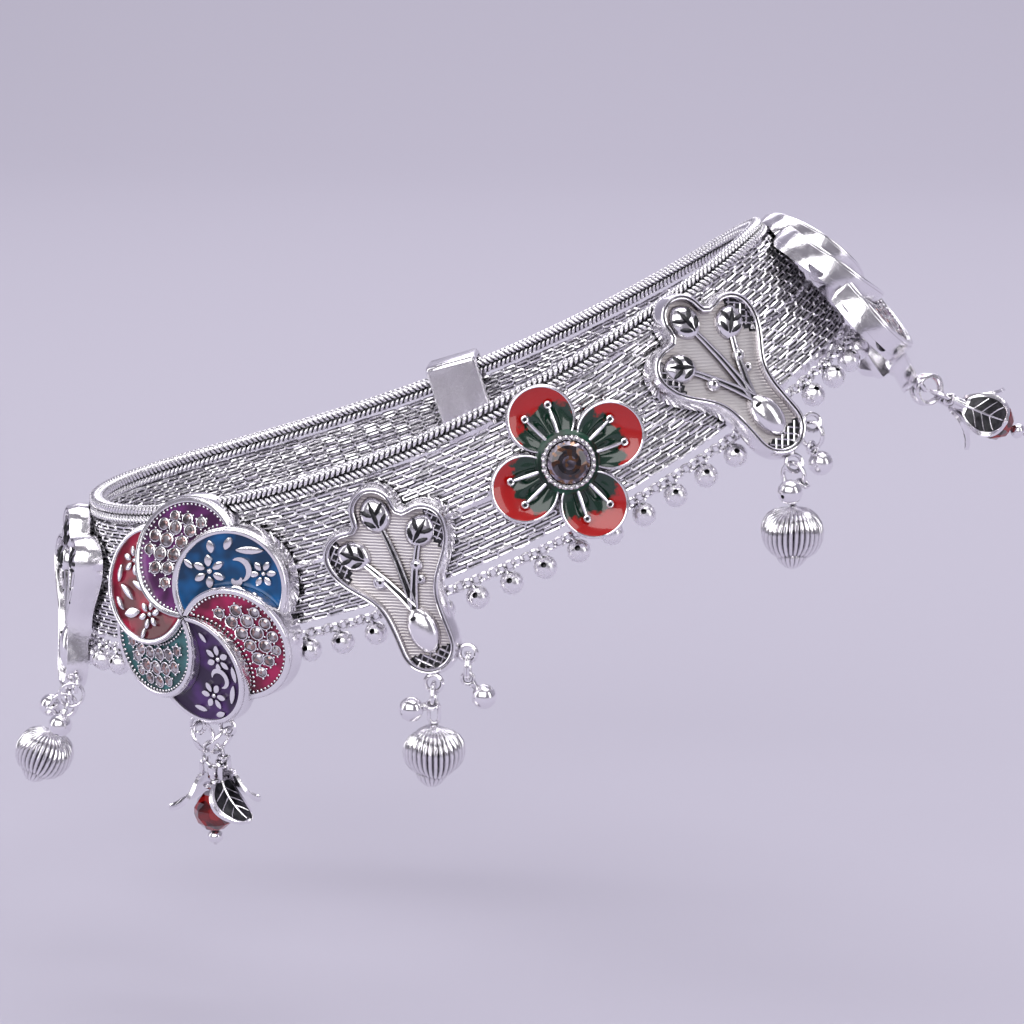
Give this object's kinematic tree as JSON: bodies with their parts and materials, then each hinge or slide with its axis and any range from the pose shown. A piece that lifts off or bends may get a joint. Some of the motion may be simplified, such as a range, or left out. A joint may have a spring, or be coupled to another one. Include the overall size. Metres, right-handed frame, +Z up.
{
  "type": "payal anklet",
  "caption": "Woven silver chain anklet with enamelled flowers, filigree plaques, a ball fringe and hanging drops, kept in the form it has on an ankle.",
  "frame": {"origin": "middle of the opening that the ankle goes through, as the anklet is worn", "axes": "+Z up the leg, +X to the toes, -Y out of the side that carries the motifs"},
  "size_m": [0.1239, 0.0675, 0.0734],
  "materials": {
    "silver": "bright silver plate over cast metal, darker in recesses",
    "silver_chain": "bright silver plated woven chain",
    "enamel_purple": "purple enamel under set stones",
    "enamel_blue": "deep blue translucent enamel",
    "enamel_pink": "magenta enamel under set stones",
    "enamel_violet": "dark violet translucent enamel",
    "enamel_teal": "pale teal enamel under set stones",
    "enamel_red": "crimson translucent enamel",
    "enamel_red_green": "red enamel turning dark green inwards",
    "clear_stone": "clear faceted stone with a grey violet cast",
    "red_bead": "dark red faceted glass bead"
  },
  "bodies": {
    "root": {"ball_fringe": "silver_chain", "centre_stone": "clear_stone", "clasp": "silver", "four_petal_casting": "silver", "four_petal_enamel_1": "enamel_red_green", "four_petal_enamel_2": "enamel_red_green", "four_petal_enamel_3": "enamel_red_green", "four_petal_enamel_4": "enamel_red_green", "front_flower_casting": "silver", "front_flower_enamel_1": "enamel_purple", "front_flower_enamel_2": "enamel_blue", "front_flower_enamel_3": "enamel_pink", "front_flower_enamel_4": "enamel_violet", "front_flower_enamel_5": "enamel_teal", "front_flower_enamel_6": "enamel_red", "front_tulip_bead": "red_bead", "front_tulip_petal_1": "silver", "front_tulip_petal_2": "silver", "front_tulip_petal_3": "silver", "front_tulip_pin": "silver", "front_tulip_ring_a": "silver", "front_tulip_ring_b": "silver", "heel_drop_ball_a": "silver", "heel_drop_ball_b": "silver", "heel_drop_bud": "silver", "heel_drop_ring_a": "silver", "heel_drop_ring_b": "silver", "heel_plaque_casting": "silver", "instep_drop_ball_a": "silver", "instep_drop_ball_b": "silver", "instep_drop_bud": "silver", "instep_drop_ring_a": "silver", "instep_drop_ring_b": "silver", "instep_plaque_casting": "silver", "lower_band": "silver_chain", "near_drop_ball_a": "silver", "near_drop_ball_b": "silver", "near_drop_bud": "silver", "near_drop_ring_a": "silver", "near_drop_ring_b": "silver", "near_plaque_casting": "silver", "side_flower_casting": "silver", "side_flower_enamel_1": "enamel_purple", "side_flower_enamel_2": "enamel_blue", "side_flower_enamel_3": "enamel_pink", "side_flower_enamel_4": "enamel_violet", "side_flower_enamel_5": "enamel_teal", "side_flower_enamel_6": "enamel_red", "side_tulip_bead": "red_bead", "side_tulip_petal_1": "silver", "side_tulip_petal_2": "silver", "side_tulip_petal_3": "silver", "side_tulip_pin": "silver", "side_tulip_ring_a": "silver", "side_tulip_ring_b": "silver", "top_chain": "silver_chain", "upper_band": "silver_chain"}
  },
  "joints": []
}
